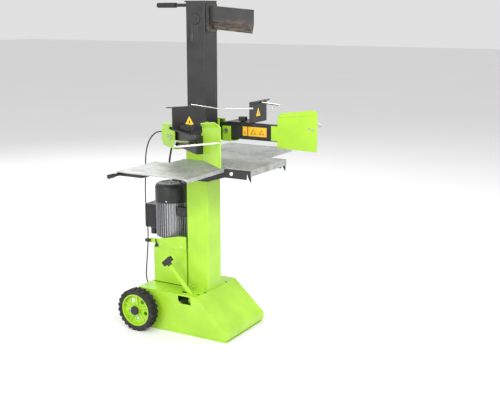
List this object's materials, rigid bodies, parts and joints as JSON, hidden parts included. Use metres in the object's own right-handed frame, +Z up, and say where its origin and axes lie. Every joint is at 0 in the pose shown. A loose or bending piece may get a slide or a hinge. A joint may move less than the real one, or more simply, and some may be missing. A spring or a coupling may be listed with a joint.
{
  "type": "log splitter",
  "caption": "Upright hydraulic log splitter: a ram with a wedge rides down a square column over a steel table, with two-hand control arms and transport wheels.",
  "frame": {"origin": "on the floor under the column's axis", "axes": "+Z up, -Y towards the log side, +X to the operator's left as they face the machine"},
  "size_m": [1.0203, 0.8641, 1.5],
  "materials": {
    "green_paint": "satin",
    "black_paint": "satin",
    "galvanised": "satin",
    "zinc_steel": "satin",
    "machined_steel": "polished",
    "chrome_rod": "polished",
    "aluminium": "satin",
    "black_plastic": "matte",
    "green_plastic": "satin",
    "rubber": "matte",
    "tyre": "matte",
    "cable_rubber": "matte",
    "cast_iron": "matte",
    "nylon": "matte",
    "green_button": "gloss",
    "red_button": "gloss"
  },
  "bodies": {
    "root": {"base_shell": "green_paint", "axle": "zinc_steel", "column_tube": "green_paint", "panel_bolts": "zinc_steel", "guide_pads": "nylon", "cylinder_barrel": "black_paint", "tank_shell": "green_paint", "motor_mount": "green_paint", "motor_barrel": "aluminium", "fan_cover": "black_plastic", "pump_body": "cast_iron", "valve_block": "cast_iron", "oil_plug": "zinc_steel", "switch_box": "black_plastic", "table_centre": "galvanised", "table_wings": "galvanised", "table_frame": "black_paint", "support_bars": "black_paint", "arm_yoke": "green_paint", "hinge_pins": "zinc_steel", "control_cable": "cable_rubber", "motor_lead": "cable_rubber", "cable_fittings": "black_plastic"},
    "ram": {"ram_tube": "black_paint", "side_plug": "black_plastic", "wedge": "black_paint", "transport_handle": "rubber", "piston_rod": "chrome_rod"},
    "rotor": {"motor_rotor": "machined_steel", "cooling_fan": "black_plastic"},
    "spool": {"valve_spool": "machined_steel"},
    "lever": {"lever": "green_paint", "lever_pad": "black_plastic"},
    "start_button": {"start_button": "green_button"},
    "stop_button": {"stop_button": "red_button"},
    "near_wheel": {"near_tyre": "tyre", "near_rim": "green_plastic", "near_hub_cap": "black_plastic"},
    "near_carrier": {"near_carrier": "green_paint", "near_tilt_bolt": "zinc_steel"},
    "near_arm": {"near_arm": "black_paint", "near_guard": "green_paint", "near_hoop": "zinc_steel", "near_grip": "rubber"},
    "near_claw": {"near_claw": "black_paint", "near_claw_wire": "zinc_steel"},
    "near_knob_1": {"near_knob_1": "black_plastic"},
    "near_knob_2": {"near_knob_2": "black_plastic"},
    "far_wheel": {"far_tyre": "tyre", "far_rim": "green_plastic", "far_hub_cap": "black_plastic"},
    "far_carrier": {"far_carrier": "green_paint", "far_tilt_bolt": "zinc_steel"},
    "far_arm": {"far_arm": "black_paint", "far_guard": "green_paint", "far_hoop": "zinc_steel", "far_grip": "rubber"},
    "far_claw": {"far_claw": "black_paint", "far_claw_wire": "zinc_steel"},
    "far_knob_1": {"far_knob_1": "black_plastic"}
  },
  "joints": [
    {"name": "ram_slide", "type": "slide", "parent": "root", "child": "ram", "axis": [0, 0, -1], "range_m": [0, 0.48]},
    {"name": "rotor_spin", "type": "hinge", "parent": "root", "child": "rotor", "pos_m": [0.018, 0.19, 0.5], "axis": [0, 0, 1], "continuous": true},
    {"name": "spool_shift", "type": "slide", "parent": "root", "child": "spool", "axis": [1, 0, 0], "range_m": [0, 0.01], "stiffness_N_per_m": 500},
    {"name": "lever_swing", "type": "hinge", "parent": "root", "child": "lever", "pos_m": [-0.128, -0.02, 0.168], "axis": [1, 0, 0], "range_deg": [-15, 60]},
    {"name": "start_press", "type": "slide", "parent": "root", "child": "start_button", "axis": [0, -1, 0], "range_m": [0, 0.004], "stiffness_N_per_m": 500},
    {"name": "stop_press", "type": "slide", "parent": "root", "child": "stop_button", "axis": [0, -1, 0], "range_m": [0, 0.004], "stiffness_N_per_m": 500},
    {"name": "near_wheel_spin", "type": "hinge", "parent": "root", "child": "near_wheel", "pos_m": [-0.22, 0.229, 0.1], "axis": [1, 0, 0], "continuous": true},
    {"name": "near_carrier_swing", "type": "hinge", "parent": "root", "child": "near_carrier", "pos_m": [-0.03, 0.13, 0.922], "axis": [0, 0, 1], "range_deg": [-5, 22]},
    {"name": "near_arm_tilt", "type": "hinge", "parent": "near_carrier", "child": "near_arm", "pos_m": [-0.2072, -0.00331, 0.925], "axis": [0.809, -0.5878, 0], "range_deg": [0, 5], "stiffness_Nm_per_rad": 60, "springref_deg": -14.32},
    {"name": "near_claw_slide", "type": "slide", "parent": "near_arm", "child": "near_claw", "axis": [-0.809, 0.5878, 0], "range_m": [0, 0.045]},
    {"name": "near_knob_1_turn", "type": "hinge", "parent": "near_arm", "child": "near_knob_1", "pos_m": [-0.26362, -0.08097, 0.975], "axis": [0, 0, 1], "continuous": true},
    {"name": "near_knob_2_turn", "type": "hinge", "parent": "near_arm", "child": "near_knob_2", "pos_m": [-0.29419, -0.12304, 0.975], "axis": [0, 0, 1], "continuous": true},
    {"name": "far_wheel_spin", "type": "hinge", "parent": "root", "child": "far_wheel", "pos_m": [0.22, 0.229, 0.1], "axis": [1, 0, 0], "continuous": true},
    {"name": "far_carrier_swing", "type": "hinge", "parent": "root", "child": "far_carrier", "pos_m": [0.03, 0.13, 0.922], "axis": [0, 0, 1], "range_deg": [0, 40]},
    {"name": "far_arm_tilt", "type": "hinge", "parent": "far_carrier", "child": "far_arm", "pos_m": [0.095, -0.082, 0.925], "axis": [1, 0, 0], "range_deg": [0, 5], "stiffness_Nm_per_rad": 60, "springref_deg": -14.32},
    {"name": "far_claw_slide", "type": "slide", "parent": "far_arm", "child": "far_claw", "axis": [1, 0, 0], "range_m": [-0.045, 0]},
    {"name": "far_knob_1_turn", "type": "hinge", "parent": "far_arm", "child": "far_knob_1", "pos_m": [0.095, -0.155, 0.975], "axis": [0, 0, 1], "continuous": true}
  ]
}
